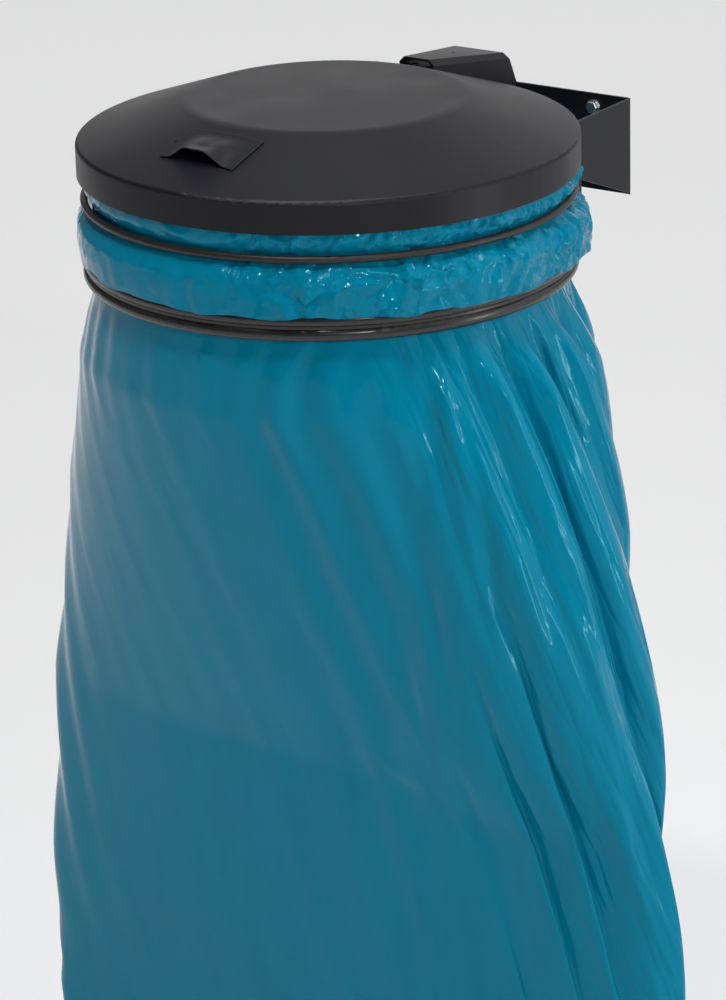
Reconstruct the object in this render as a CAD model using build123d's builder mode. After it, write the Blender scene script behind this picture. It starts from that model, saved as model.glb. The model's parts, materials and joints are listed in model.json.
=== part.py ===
import os
from math import atan2, cos, degrees, radians, sin

from build123d import *

os.makedirs("parts", exist_ok=True)

# Wall-hung holder for a 110 litre refuse bag, with a hinged lid. Millimetres.
# Origin: centre of the wall plate's rear face. +X is right seen from the front,
# +Y points into the wall and +Z is up. "Ring heights" are counted from the lower edge
# of the closed lid's skirt, and the ring axis is the upright axis of lid, drum and bag.
RING_Y = -272.0
SKIRT_Z = 32.0
RING_AXIS = Axis((0, RING_Y, 0), (0, 0, 1))

# Sheet thicknesses
STEEL = 2.5
LID_T = 1.2
DRUM_T = 1.5
FILM_T = 0.8

# Wall bracket
PLATE_W, PLATE_H = 276.0, 88.0
WALL_SCREW_X, WALL_SCREW_Z = 100.0, 32.0
WALL_SCREW_R, WALL_SCREW_REACH = 3.0, 30.0
WALL_HOLE_R = 3.3
WING_FRONT_Y = -98.0
BEND_R = 4.0

# Lid
LID_R, SKIRT_H = 215.0, 27.5
DISC_R, DISC_H = 119.0, 60.0
DISC_BLEND, RIM_BLEND = 26.0, 4.0
CONE_SLOPE = degrees(atan2(DISC_H - SKIRT_H, LID_R - DISC_R))

# Drum, its curled rim and the ribbed hoop round its foot
DRUM_R, DRUM_FOOT, RIM_H = 204.0, -92.0, 16.0
CURL_R = 3.0
RIB_R, HOOP_R = 6.0, 213.0
RIB_HEIGHTS = (-74.0, -86.0)

# Elastic cord that clamps the bag's cuff
CORD_R, CORD_RING_R, CORD_H = 3.2, 209.6, -22.0

# Lid hinge
PIN_Y, PIN_Z, PIN_R = -44.0, 44.0, 4.0
EAR_X, EAR_T = 22.0, 2.0
ARM_T = 2.0
ARM_FRONT_Y, ARM_REAR_Y = -135.0, -23.0
ARM_FRONT_HALF, ARM_REAR_HALF = 18.0, 32.0
PIN_HALF = 37.0

# Handle, pressed from sheet and set a little left of the lid's centre line
HANDLE_R, HANDLE_CLOCK = 158.0, -6.5
HANDLE_W, HANDLE_D, HANDLE_T = 77.0, 48.0, 1.5
HANDLE_BAND = (128.0, 190.0)

# Bag: half widths (along the wall, across it) of its oval at falling ring heights
BAG_OVALS = (
    (-92.0, 200.4, 200.4),
    (-164.0, 219.0, 211.0),
    (-300.0, 252.0, 192.0),
    (-520.0, 293.0, 138.0),
    (-731.0, 320.0, 90.0),
    (-940.0, 346.0, 8.0),
)


def level(height):
    """Height in the part's frame of a ring height."""
    return SKIRT_Z + height


def ring_profile_plane():
    """Plane whose x is the distance from the ring axis and whose y is the height."""
    return Plane(origin=(0, RING_Y, SKIRT_Z), x_dir=(1, 0, 0), z_dir=(0, -1, 0))


def cone_height(radius):
    """Ring height of the lid's outer cone at a radius."""
    return DISC_H - (radius - DISC_R) * (DISC_H - SKIRT_H) / (LID_R - DISC_R)


def cone_plane(radius, clock, side=0.0):
    """Plane on the lid's cone: x runs round it, y up the slope and z out of it.

    clock turns it from the front, in degrees, and side shifts it sideways."""
    turn, slope = radians(clock), radians(CONE_SLOPE)
    out = Vector(sin(turn), -cos(turn), 0)
    across = Vector(cos(turn), sin(turn), 0)
    normal = out * sin(slope) + Vector(0, 0, cos(slope))
    place = Vector(0, RING_Y, level(cone_height(radius))) + out * radius + across * side
    return Plane(origin=place, x_dir=across, z_dir=normal)


def arm_half(y):
    """Half width of the arm in plan at a place along it."""
    share = (y - ARM_FRONT_Y) / (ARM_REAR_Y - ARM_FRONT_Y)
    return ARM_FRONT_HALF + share * (ARM_REAR_HALF - ARM_FRONT_HALF)


def save(builder, name):
    """Label a finished sub-part and write its STEP file."""
    builder.part.label = name
    export_step(builder.part, f"parts/{name}.step")


# Solid shape of the closed lid, used only to cut what sits on it
with BuildPart() as lid_envelope:
    with BuildSketch(ring_profile_plane()):
        with BuildLine():
            FilletPolyline(
                (0, DISC_H), (DISC_R, DISC_H), (LID_R, SKIRT_H), (LID_R, 0),
                radius=(DISC_BLEND, RIM_BLEND),
            )
            Polyline((LID_R, 0), (0, 0), (0, DISC_H))
        make_face()
    revolve(axis=RING_AXIS)

# ---------------------------------------------------------------- wall bracket
# One folded sheet: a plate against the wall and two wings that reach forward. Each
# wing ends in a leg that passes behind the bag's cuff, down to the ribbed hoop.
LEG_TOP_Z, HOOP_TOP_Z, LEG_FOOT_Z = -28.0, -36.0, level(DRUM_FOOT)
LEG_FRONT_Y, LEG_REAR_Y, LEG_TOE_Y = -106.5, -86.0, -92.0
WING_HEEL_Z, LEG_KNEE_Z = -9.3, -32.0
LUG_BOLT_Y, LUG_BOLT_Z = -96.5, (-42.0, -54.0)
LUG_HOLE_R, LUG_BOLT_R = 2.25, 2.0
BASE_SCREW_Z, BASE_SCREW_R, BASE_SCREW_HEAD_R = (-12.0, 14.0), 2.5, 5.0
with BuildPart() as wall_bracket:
    with BuildSketch(Plane.XZ):
        Rectangle(PLATE_W, PLATE_H)
    extrude(amount=STEEL)
    for side in (-1, 1):
        with BuildSketch(Plane.YZ.offset(side * PLATE_W / 2)):
            with BuildLine():
                Polyline(
                    (0, PLATE_H / 2), (WING_FRONT_Y, PLATE_H / 2), (WING_FRONT_Y, LEG_TOP_Z),
                    (LEG_FRONT_Y, HOOP_TOP_Z), (LEG_FRONT_Y, LEG_FOOT_Z), (LEG_TOE_Y, LEG_FOOT_Z),
                    (LEG_REAR_Y, LEG_KNEE_Z), (LEG_REAR_Y, WING_HEEL_Z),
                    (0, -PLATE_H / 2), (0, PLATE_H / 2),
                )
            make_face()
        extrude(amount=-side * STEEL)
    bends = wall_bracket.edges().filter_by(Axis.Z).group_by(Axis.Y)[-1]
    fillet(bends, BEND_R)
    with Locations(Plane.XZ):
        with GridLocations(2 * WALL_SCREW_X, 2 * WALL_SCREW_Z, 2, 2):
            Hole(WALL_HOLE_R)
    for height in BASE_SCREW_Z:
        with Locations(Plane(origin=(0, 0, height), z_dir=(0, 1, 0))):
            CounterSinkHole(BASE_SCREW_R, BASE_SCREW_HEAD_R, depth=STEEL)
    for height in LUG_BOLT_Z:
        with Locations(Plane(origin=(PLATE_W / 2, LUG_BOLT_Y, height), z_dir=(1, 0, 0))):
            Hole(LUG_HOLE_R, depth=PLATE_W)
save(wall_bracket, "wall_bracket")

# Four screws into the wall, with washers under their heads
WASHER_R, WASHER_HOLE_R, WASHER_T = 7.0, 3.2, 1.2
HEAD_AF, HEAD_H, WALL_NECK_R = 10.0, 4.0, 3.15
with BuildPart() as wall_washers:
    with BuildSketch(Plane.XZ.offset(STEEL)):
        with GridLocations(2 * WALL_SCREW_X, 2 * WALL_SCREW_Z, 2, 2):
            Circle(WASHER_R)
            Circle(WASHER_HOLE_R, mode=Mode.SUBTRACT)
    extrude(amount=WASHER_T)
save(wall_washers, "wall_washers")

with BuildPart() as wall_screws:
    with BuildSketch(Plane.XZ.offset(STEEL + WASHER_T)):
        with GridLocations(2 * WALL_SCREW_X, 2 * WALL_SCREW_Z, 2, 2):
            RegularPolygon(HEAD_AF / 2, 6, major_radius=False)
    extrude(amount=HEAD_H)
    chamfer(wall_screws.faces().sort_by(Axis.Y)[:4].edges(), 0.6)
    with BuildSketch(Plane.XZ.offset(STEEL + WASHER_T)):
        with GridLocations(2 * WALL_SCREW_X, 2 * WALL_SCREW_Z, 2, 2):
            Circle(WALL_NECK_R)
    extrude(amount=-(STEEL + WASHER_T))
    with BuildSketch(Plane.XZ):
        with GridLocations(2 * WALL_SCREW_X, 2 * WALL_SCREW_Z, 2, 2):
            Circle(WALL_SCREW_R)
    extrude(amount=-WALL_SCREW_REACH)
    chamfer(wall_screws.faces().sort_by(Axis.Y)[-4:].edges(), 1.5)
save(wall_screws, "wall_screws")

# ------------------------------------------------------- ring: drum, hoop, lugs
with BuildPart() as drum:
    with BuildSketch(ring_profile_plane()):
        with BuildLine():
            Polyline(
                (DRUM_R - DRUM_T, DRUM_FOOT), (DRUM_R, DRUM_FOOT), (DRUM_R, RIM_H),
                (DRUM_R - DRUM_T, RIM_H), (DRUM_R - DRUM_T, DRUM_FOOT),
            )
        make_face()
        with Locations((DRUM_R + 0.2, RIM_H)):
            Circle(CURL_R)
    revolve(axis=RING_AXIS)
save(drum, "drum")

# Roll-formed section with two rounded ribs, open towards the drum
HOOP_T = 1.5
RIB_CENTRE_R = HOOP_R - RIB_R
RIB_MIDDLE = sum(RIB_HEIGHTS) / 2
RIB_PITCH = RIB_HEIGHTS[0] - RIB_HEIGHTS[1]
GROOVE_R = 210.5
with BuildPart() as lower_hoop:
    with BuildSketch(ring_profile_plane()):
        for height in RIB_HEIGHTS:
            with Locations((RIB_CENTRE_R, height)):
                Circle(RIB_R)
        with Locations(((DRUM_R + GROOVE_R) / 2, RIB_MIDDLE)):
            Rectangle(GROOVE_R - DRUM_R, RIB_PITCH)
        for height in RIB_HEIGHTS:
            with Locations((RIB_CENTRE_R, height)):
                Circle(RIB_R - HOOP_T, mode=Mode.SUBTRACT)
        with Locations(((DRUM_R + GROOVE_R - HOOP_T) / 2, RIB_MIDDLE)):
            Rectangle(GROOVE_R - HOOP_T - DRUM_R, RIB_PITCH, mode=Mode.SUBTRACT)
        with Locations((DRUM_R - RIB_R, RIB_MIDDLE)):
            Rectangle(2 * RIB_R, 4 * RIB_R, mode=Mode.SUBTRACT)
    revolve(axis=RING_AXIS)
save(lower_hoop, "lower_hoop")

# Two welded lugs: a pad that hugs the hoop and a tab bolted inside each wing's leg
LUG_T, PAD_T, PAD_H = 2.5, 2.0, 20.0
LUG_X = PLATE_W / 2 - STEEL
PAD_INNER_X, PAD_Y, PAD_REACH = 118.0, -103.0, 30.0
PAD_X = (LUG_X + PAD_INNER_X) / 2
TAB_Y, TAB_W = -99.0, 15.0
with BuildPart() as hoop_lugs:
    with BuildSketch(Plane.XY.offset(level(RIB_MIDDLE) - PAD_H / 2)):
        with Locations((0, RING_Y)):
            Circle(HOOP_R + PAD_T)
            Circle(HOOP_R, mode=Mode.SUBTRACT)
        with Locations((PAD_X, PAD_Y), (-PAD_X, PAD_Y)):
            Rectangle(LUG_X - PAD_INNER_X, PAD_REACH, mode=Mode.INTERSECT)
        for side in (-1, 1):
            with Locations((side * (LUG_X - LUG_T / 2), TAB_Y)):
                Rectangle(LUG_T, TAB_W)
        with Locations((0, RING_Y)):
            Circle(HOOP_R, mode=Mode.SUBTRACT)
    extrude(amount=PAD_H)
    for height in LUG_BOLT_Z:
        with Locations(Plane(origin=(LUG_X, LUG_BOLT_Y, height), z_dir=(1, 0, 0))):
            Hole(LUG_HOLE_R, depth=2 * LUG_X)
save(hoop_lugs, "hoop_lugs")

LUG_HEAD_AF, LUG_HEAD_H, LUG_NUT_H = 7.0, 2.8, 3.2
with BuildPart() as lug_bolts:
    for side in (-1, 1):
        outside = Plane(origin=(side * PLATE_W / 2, 0, 0), x_dir=(0, 1, 0), z_dir=(side, 0, 0))
        for height in LUG_BOLT_Z:
            with BuildSketch(outside):
                with Locations((LUG_BOLT_Y, side * height)):
                    RegularPolygon(LUG_HEAD_AF / 2, 6, major_radius=False)
            extrude(amount=LUG_HEAD_H)
            with BuildSketch(outside):
                with Locations((LUG_BOLT_Y, side * height)):
                    Circle(LUG_BOLT_R)
            extrude(amount=-(STEEL + LUG_T + LUG_NUT_H + 1.0))
save(lug_bolts, "lug_bolts")

with BuildPart() as lug_nuts:
    for side in (-1, 1):
        inside = Plane(
            origin=(side * (LUG_X - LUG_T), 0, 0), x_dir=(0, 1, 0), z_dir=(-side, 0, 0)
        )
        for height in LUG_BOLT_Z:
            with BuildSketch(inside):
                with Locations((LUG_BOLT_Y, -side * height)):
                    RegularPolygon(LUG_HEAD_AF / 2, 6, major_radius=False)
                    Circle(LUG_BOLT_R, mode=Mode.SUBTRACT)
            extrude(amount=LUG_NUT_H)
save(lug_nuts, "lug_nuts")

# ---------------------------------------------------------------- elastic cord
with BuildPart() as elastic_cord:
    with BuildSketch(ring_profile_plane()):
        with Locations((CORD_RING_R, CORD_H)):
            Circle(CORD_R)
    revolve(axis=RING_AXIS)
save(elastic_cord, "elastic_cord")

# Crimped sleeve over the cord's joint, at the back of the ring
SLEEVE_R, SLEEVE_ARC = 4.2, 7.0
SLEEVE_START = radians(90 - SLEEVE_ARC / 2)
with BuildPart() as cord_sleeve:
    sleeve_end = Plane(
        origin=(0, RING_Y, SKIRT_Z),
        x_dir=(cos(SLEEVE_START), sin(SLEEVE_START), 0),
        z_dir=(sin(SLEEVE_START), -cos(SLEEVE_START), 0),
    )
    with BuildSketch(sleeve_end):
        with Locations((CORD_RING_R, CORD_H)):
            Circle(SLEEVE_R)
            Circle(CORD_R, mode=Mode.SUBTRACT)
    revolve(axis=RING_AXIS, revolution_arc=SLEEVE_ARC)
save(cord_sleeve, "cord_sleeve")

# ------------------------------------------------------------------------- bag
# Thin-walled and open at the mouth: it hangs inside the drum, turns over the curled rim
# and ends in a cuff outside it, whose hem rests just above the ribbed hoop.
CUFF_R, PINCH_R, MOUTH_R, LINING_R = 213.0, 204.4, 208.0, 200.4
RIM_OVER = 3.8
with BuildPart() as bag:
    with BuildSketch(ring_profile_plane()):
        with BuildLine():
            Polyline(
                (CUFF_R - 1.5, -66), (CUFF_R, -45), (PINCH_R, CORD_H - 5.5),
                (PINCH_R, CORD_H + 5.5), (MOUTH_R, RIM_H - 4),
                (MOUTH_R, RIM_H + 2), (MOUTH_R - 1.8, RIM_H + RIM_OVER),
                (LINING_R + 1.6, RIM_H + RIM_OVER), (LINING_R, RIM_H + 2), (LINING_R, DRUM_FOOT),
            )
            offset(amount=FILM_T, side=Side.LEFT)
        make_face()
    revolve(axis=RING_AXIS)
    for inset, mode in ((0.0, Mode.ADD), (FILM_T, Mode.SUBTRACT)):
        for height, along, across in BAG_OVALS:
            rise = inset if height == BAG_OVALS[-1][0] else 0.0
            with BuildSketch(Plane.XY.offset(level(height + rise))):
                with Locations((0, RING_Y)):
                    Ellipse(along - inset, across - inset)
        loft(mode=mode)
save(bag, "bag")

# ------------------------------------------------------------------- lid hinge
# U-shaped base: a web screwed to the wall plate and two ears that carry the pin
WEB_FOOT_Z, WEB_TOP_Z, EAR_R = -24.0, 25.0, 9.0
NUT_AF, NUT_H = 8.0, 4.0
with BuildPart() as hinge_base:
    with BuildSketch(Plane.XZ.offset(STEEL)):
        with Locations((0, (WEB_FOOT_Z + WEB_TOP_Z) / 2)):
            Rectangle(2 * EAR_X, WEB_TOP_Z - WEB_FOOT_Z)
    extrude(amount=EAR_T)
    for side in (-1, 1):
        with BuildSketch(Plane.YZ.offset(side * EAR_X)):
            with BuildLine():
                Polyline(
                    (-STEEL, WEB_TOP_Z), (-22, WEB_TOP_Z + 3), (PIN_Y + EAR_R, PIN_Z),
                    (PIN_Y + EAR_R - 3, PIN_Z + EAR_R - 3), (PIN_Y, PIN_Z + EAR_R),
                    (PIN_Y - EAR_R + 3, PIN_Z + EAR_R - 3), (PIN_Y - EAR_R, PIN_Z),
                    (PIN_Y - EAR_R, PIN_Z - 6), (PIN_Y - 2, PIN_Z - 18),
                    (-STEEL, WEB_FOOT_Z), (-STEEL, WEB_TOP_Z),
                )
            make_face()
        extrude(amount=-side * EAR_T)
    with Locations(Plane(origin=(EAR_X, PIN_Y, PIN_Z), z_dir=(1, 0, 0))):
        Hole(PIN_R + 1.0, depth=2 * EAR_X)
    for height in BASE_SCREW_Z:
        with Locations(Plane(origin=(0, -STEEL - EAR_T, height), z_dir=(0, -1, 0))):
            Hole(BASE_SCREW_R, depth=EAR_T)
save(hinge_base, "hinge_base")

with BuildPart() as base_screws:
    for height in BASE_SCREW_Z:
        with BuildSketch(Plane(origin=(0, 0, height), x_dir=(1, 0, 0), z_dir=(0, 1, 0))):
            Circle(BASE_SCREW_R)
        extrude(amount=-(STEEL + EAR_T + NUT_H + 1.5))
        with Locations(Plane(origin=(0, -STEEL / 2, height), z_dir=(0, 1, 0))):
            Cone(BASE_SCREW_R, BASE_SCREW_HEAD_R, STEEL)
save(base_screws, "base_screws")

with BuildPart() as base_nuts:
    for height in BASE_SCREW_Z:
        face = Plane(origin=(0, -STEEL - EAR_T, height), x_dir=(1, 0, 0), z_dir=(0, -1, 0))
        with BuildSketch(face):
            RegularPolygon(NUT_AF / 2, 6, major_radius=False)
            Circle(BASE_SCREW_R, mode=Mode.SUBTRACT)
        extrude(amount=NUT_H)
save(base_nuts, "base_nuts")

# Plastic bushes in the ears: sleeve in the ear, flange as spacer to the arm
RUNNING_GAP, BUSH_FLANGE_R, SIDE_PLAY = 0.05, 7.0, 0.4
BUSH_END_X = arm_half(PIN_Y - BUSH_FLANGE_R) - ARM_T - SIDE_PLAY
with BuildPart() as hinge_bushes:
    for side in (-1, 1):
        inner_end = Plane(
            origin=(side * (EAR_X - EAR_T), PIN_Y, PIN_Z), x_dir=(0, 1, 0), z_dir=(side, 0, 0)
        )
        with BuildSketch(inner_end):
            Circle(PIN_R + 1.0)
            Circle(PIN_R + RUNNING_GAP, mode=Mode.SUBTRACT)
        extrude(amount=EAR_T)
        with BuildSketch(inner_end.offset(EAR_T)):
            Circle(BUSH_FLANGE_R)
            Circle(PIN_R + RUNNING_GAP, mode=Mode.SUBTRACT)
        extrude(amount=BUSH_END_X - EAR_X)
save(hinge_bushes, "hinge_bushes")

with BuildPart() as hinge_pin:
    with BuildSketch(Plane(origin=(-PIN_HALF, PIN_Y, PIN_Z), z_dir=(1, 0, 0))):
        Circle(PIN_R)
    extrude(amount=2 * PIN_HALF)
    chamfer(hinge_pin.edges(), 0.8)
save(hinge_pin, "hinge_pin")

CLIP_T, CLIP_R, CLIP_INSET, CLIP_SLOT = 1.2, 6.5, 3.5, 5.0
with BuildPart() as pin_clips:
    for side in (-1, 1):
        outer = Plane(
            origin=(side * (PIN_HALF - CLIP_INSET), PIN_Y, PIN_Z),
            x_dir=(0, 1, 0),
            z_dir=(side, 0, 0),
        )
        with BuildSketch(outer):
            Circle(CLIP_R)
            Circle(PIN_R, mode=Mode.SUBTRACT)
            with Locations((0, -CLIP_R)):
                Rectangle(CLIP_SLOT, 2 * CLIP_R - CLIP_SLOT, mode=Mode.SUBTRACT)
        extrude(amount=CLIP_T)
save(pin_clips, "pin_clips")

# Inverted channel, tapered in plan: it bridges the lid's cone and drops to the pin.
ARM_TOP_FRONT_Z, ARM_TOP_REAR_Y, ARM_TOP_REAR_Z = 93.5, -34.6, 79.3
EDGE_CHAMFER, FLANGE_W = 5.0, 10.0
ARM_RISE = 120.0


def arm_plan(inset, front=0.0):
    """Corner points of the arm's plan, drawn in by inset at its sides."""
    y_front = ARM_FRONT_Y - front
    return (
        (-arm_half(y_front) + inset, y_front), (arm_half(y_front) - inset, y_front),
        (arm_half(ARM_REAR_Y) - inset, ARM_REAR_Y), (-arm_half(ARM_REAR_Y) + inset, ARM_REAR_Y),
        (-arm_half(y_front) + inset, y_front),
    )


with BuildPart() as hinge_arm:
    with BuildSketch(Plane.XY):
        with BuildLine():
            Polyline(*arm_plan(0.0))
        make_face()
    extrude(amount=ARM_RISE)
    with BuildSketch(Plane.YZ):
        with BuildLine():
            Polyline(
                (ARM_FRONT_Y, ARM_TOP_FRONT_Z), (ARM_TOP_REAR_Y, ARM_TOP_REAR_Z),
                (ARM_REAR_Y, 51), (-30, 36), (-38, 33), (-50, 33), (-55.5, 42), (-62, 50),
                (ARM_FRONT_Y, 70), (ARM_FRONT_Y, ARM_TOP_FRONT_Z),
            )
        make_face()
    extrude(amount=2 * ARM_REAR_HALF, both=True, mode=Mode.INTERSECT)
    top = hinge_arm.faces().sort_by(Axis.Z)[-1]
    long_edges = top.edges().sort_by(SortBy.LENGTH)[-2:]
    chamfer(long_edges, EDGE_CHAMFER)
    add(lid_envelope.part, mode=Mode.SUBTRACT)
with BuildPart() as arm_core:
    with BuildSketch(Plane.XY):
        with BuildLine():
            Polyline(*arm_plan(ARM_T, front=5.0))
        make_face()
    extrude(amount=ARM_RISE)
    with BuildSketch(Plane.YZ):
        with BuildLine():
            Polyline(
                (ARM_FRONT_Y - 5, ARM_TOP_FRONT_Z - ARM_T + 0.7),
                (ARM_TOP_REAR_Y - ARM_T, ARM_TOP_REAR_Z - ARM_T),
                (ARM_TOP_REAR_Y - ARM_T + 2.4, ARM_TOP_REAR_Z - 8), (ARM_REAR_Y + 3, ARM_TOP_REAR_Z - 8),
                (ARM_REAR_Y + 3, 10), (ARM_FRONT_Y - 5, 10),
                (ARM_FRONT_Y - 5, ARM_TOP_FRONT_Z - ARM_T + 0.7),
            )
        make_face()
    extrude(amount=2 * ARM_REAR_HALF, both=True, mode=Mode.INTERSECT)
    core_top = arm_core.faces().sort_by(Axis.Z)[-1]
    chamfer(core_top.edges().sort_by(SortBy.LENGTH)[-2:], EDGE_CHAMFER - 0.8)
# Feet: two strips turned inwards along the cone, inside the channel
FOOT_Y = (-130.0, -64.0)
with BuildPart() as arm_feet:
    with BuildSketch(Plane.XY):
        with BuildLine():
            Polyline(*arm_plan(ARM_T - 0.5))
        make_face()
        with BuildLine():
            Polyline(*arm_plan(ARM_T + FLANGE_W))
        make_face(mode=Mode.SUBTRACT)
    extrude(amount=ARM_RISE)
    with BuildSketch(Plane.YZ):
        with BuildLine():
            low = [(y, level(cone_height(y - RING_Y))) for y in FOOT_Y]
            high = [(y, z + ARM_T + 0.1) for y, z in reversed(low)]
            Polyline(*low, *high, low[0])
        make_face()
    extrude(amount=2 * ARM_REAR_HALF, both=True, mode=Mode.INTERSECT)
    add(lid_envelope.part, mode=Mode.SUBTRACT)
RIVET_R, RIVET_HEAD_R, RIVET_HEAD_H = 2.0, 3.8, 1.4
RIVET_RINGS = (155.0, 196.0)
VENT_Y, VENT_R = -76.0, 1.6
ARM_RIVETS = [
    cone_plane(radius, 180, side * (arm_half(RING_Y + radius) - ARM_T - FLANGE_W / 2))
    for radius in RIVET_RINGS
    for side in (-1, 1)
]
with BuildPart() as finished_arm:
    add(hinge_arm.part)
    add(arm_core.part, mode=Mode.SUBTRACT)
    add(arm_feet.part)
    with Locations(Plane(origin=(ARM_REAR_HALF, PIN_Y, PIN_Z), z_dir=(1, 0, 0))):
        Hole(PIN_R, depth=2 * ARM_REAR_HALF)
    with Locations((0, VENT_Y, ARM_TOP_FRONT_Z)):
        Hole(VENT_R, depth=20)
    with Locations(*ARM_RIVETS):
        Hole(RIVET_R, depth=6)
save(finished_arm, "hinge_arm")

with BuildPart() as arm_rivets:
    for place in ARM_RIVETS:
        with BuildSketch(place.offset(ARM_T + 0.1)):
            Circle(RIVET_HEAD_R)
        extrude(amount=RIVET_HEAD_H, taper=35)
        with BuildSketch(place.offset(ARM_T + 0.1)):
            Circle(RIVET_R)
        extrude(amount=-(ARM_T + LID_T + 0.9))
        with BuildSketch(place.offset(-LID_T - 0.8)):
            Circle(RIVET_HEAD_R)
        extrude(amount=-RIVET_HEAD_H, taper=35)
save(arm_rivets, "arm_rivets")

# ------------------------------------------------------------------------- lid
HANDLE_PLANE = cone_plane(HANDLE_R, HANDLE_CLOCK)
STUD_X, STUD_Y, STUD_R, STUD_LENGTH = 32.0, 6.0, 2.0, 9.0
with BuildPart() as lid_shell:
    with BuildSketch(ring_profile_plane()):
        with BuildLine():
            FilletPolyline(
                (0, DISC_H), (DISC_R, DISC_H), (LID_R, SKIRT_H), (LID_R, 0),
                radius=(DISC_BLEND, RIM_BLEND),
            )
            offset(amount=LID_T, side=Side.RIGHT)
        make_face()
    revolve(axis=RING_AXIS)
    with Locations(*ARM_RIVETS):
        Hole(RIVET_R, depth=6)
    with Locations(HANDLE_PLANE):
        with Locations((-STUD_X, STUD_Y), (STUD_X, STUD_Y)):
            Hole(STUD_R, depth=6)
save(lid_shell, "lid_shell")

# Pressed handle: a plate that follows the cone, with a scoop open to the front, and
# two studs welded under it
# Each end of the scoop: width, height and place up the slope
SCOOP_FRONT = (54.0, 12.5, -HANDLE_D / 2)
SCOOP_REAR = (16.0, 2.0, HANDLE_D / 2 - 5)
SCOOP_SINK = 4.0

with BuildPart() as handle_blank:
    with BuildSketch(ring_profile_plane()):
        with BuildLine():
            lift = HANDLE_T / cos(radians(CONE_SLOPE))
            band = [(radius, cone_height(radius)) for radius in HANDLE_BAND]
            Polyline(*band, *[(r, h + lift) for r, h in reversed(band)], band[0])
        make_face()
    revolve(axis=RING_AXIS)
with BuildPart() as lid_handle:
    with BuildSketch(HANDLE_PLANE.offset(-15)):
        RectangleRounded(HANDLE_W, HANDLE_D, 3)
    extrude(amount=40)
    add(handle_blank.part, mode=Mode.INTERSECT)
    for inset, overrun, mode in ((0.0, 0.0, Mode.ADD), (HANDLE_T, 0.5, Mode.SUBTRACT)):
        for width, height, place in (SCOOP_FRONT, SCOOP_REAR):
            forward = overrun if place < 0 else 0.0
            face = Plane(
                origin=HANDLE_PLANE.from_local_coords(Vector(0, place - forward, 0)),
                x_dir=HANDLE_PLANE.x_dir,
                z_dir=-HANDLE_PLANE.y_dir,
            )
            half = width / 2 - inset
            with BuildSketch(face):
                with BuildLine():
                    ThreePointArc((-half, -SCOOP_SINK), (0, height - inset), (half, -SCOOP_SINK))
                    Line((half, -SCOOP_SINK), (-half, -SCOOP_SINK))
                make_face()
        loft(mode=mode)
    add(lid_envelope.part, mode=Mode.SUBTRACT)
    with BuildSketch(HANDLE_PLANE.offset(-STUD_LENGTH)):
        with Locations((-STUD_X, STUD_Y), (STUD_X, STUD_Y)):
            Circle(STUD_R)
    extrude(amount=STUD_LENGTH)
save(lid_handle, "lid_handle")

HANDLE_NUT_AF, HANDLE_NUT_H, HANDLE_NUT_DROP = 7.0, 3.2, 3.0
with BuildPart() as handle_nuts:
    with BuildSketch(HANDLE_PLANE.offset(-HANDLE_NUT_DROP)):
        with Locations((-STUD_X, STUD_Y), (STUD_X, STUD_Y)):
            RegularPolygon(HANDLE_NUT_AF / 2, 6, major_radius=False)
            Circle(STUD_R, mode=Mode.SUBTRACT)
    extrude(amount=-HANDLE_NUT_H)
save(handle_nuts, "handle_nuts")

# Rubber buffers under the cone: the closed lid rests through them on the bag's rim
BUFFER_R, BUFFER_RING_R, BUFFER_GAP = 7.0, 203.5, 0.4
BUFFER_CUT = (150.0, 230.0)
BUFFER_CUT_TOP = 90.0
with BuildPart() as lid_buffers:
    with BuildSketch(Plane.XY.offset(level(RIM_H + RIM_OVER + FILM_T + BUFFER_GAP))):
        with Locations((0, RING_Y)):
            with PolarLocations(BUFFER_RING_R, 3, start_angle=-90):
                Circle(BUFFER_R)
    extrude(amount=20)
    with BuildSketch(ring_profile_plane()):
        with BuildLine():
            drop = LID_T / cos(radians(CONE_SLOPE))
            under = [(radius, cone_height(radius) - drop) for radius in BUFFER_CUT]
            over = [(radius, BUFFER_CUT_TOP) for radius in reversed(BUFFER_CUT)]
            Polyline(*under, *over, under[0])
        make_face()
    revolve(axis=RING_AXIS, mode=Mode.SUBTRACT)
save(lid_buffers, "lid_buffers")

# Rubber stop on the wall plate that meets the arm's rear edge when the lid is open
STOP_R, STOP_REACH, STOP_Z = 7.0, 5.0, 36.5
with BuildPart() as stop_buffer:
    with BuildSketch(Plane(origin=(0, -STEEL, STOP_Z), z_dir=(0, -1, 0))):
        Circle(STOP_R)
    extrude(amount=STOP_REACH)
    chamfer(stop_buffer.edges().group_by(Axis.Y)[0], 1)
save(stop_buffer, "stop_buffer")
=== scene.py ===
import json
from math import cos, pi, radians, sin

import bmesh
import bpy
import numpy as np
from mathutils import Matrix, Vector


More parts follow.
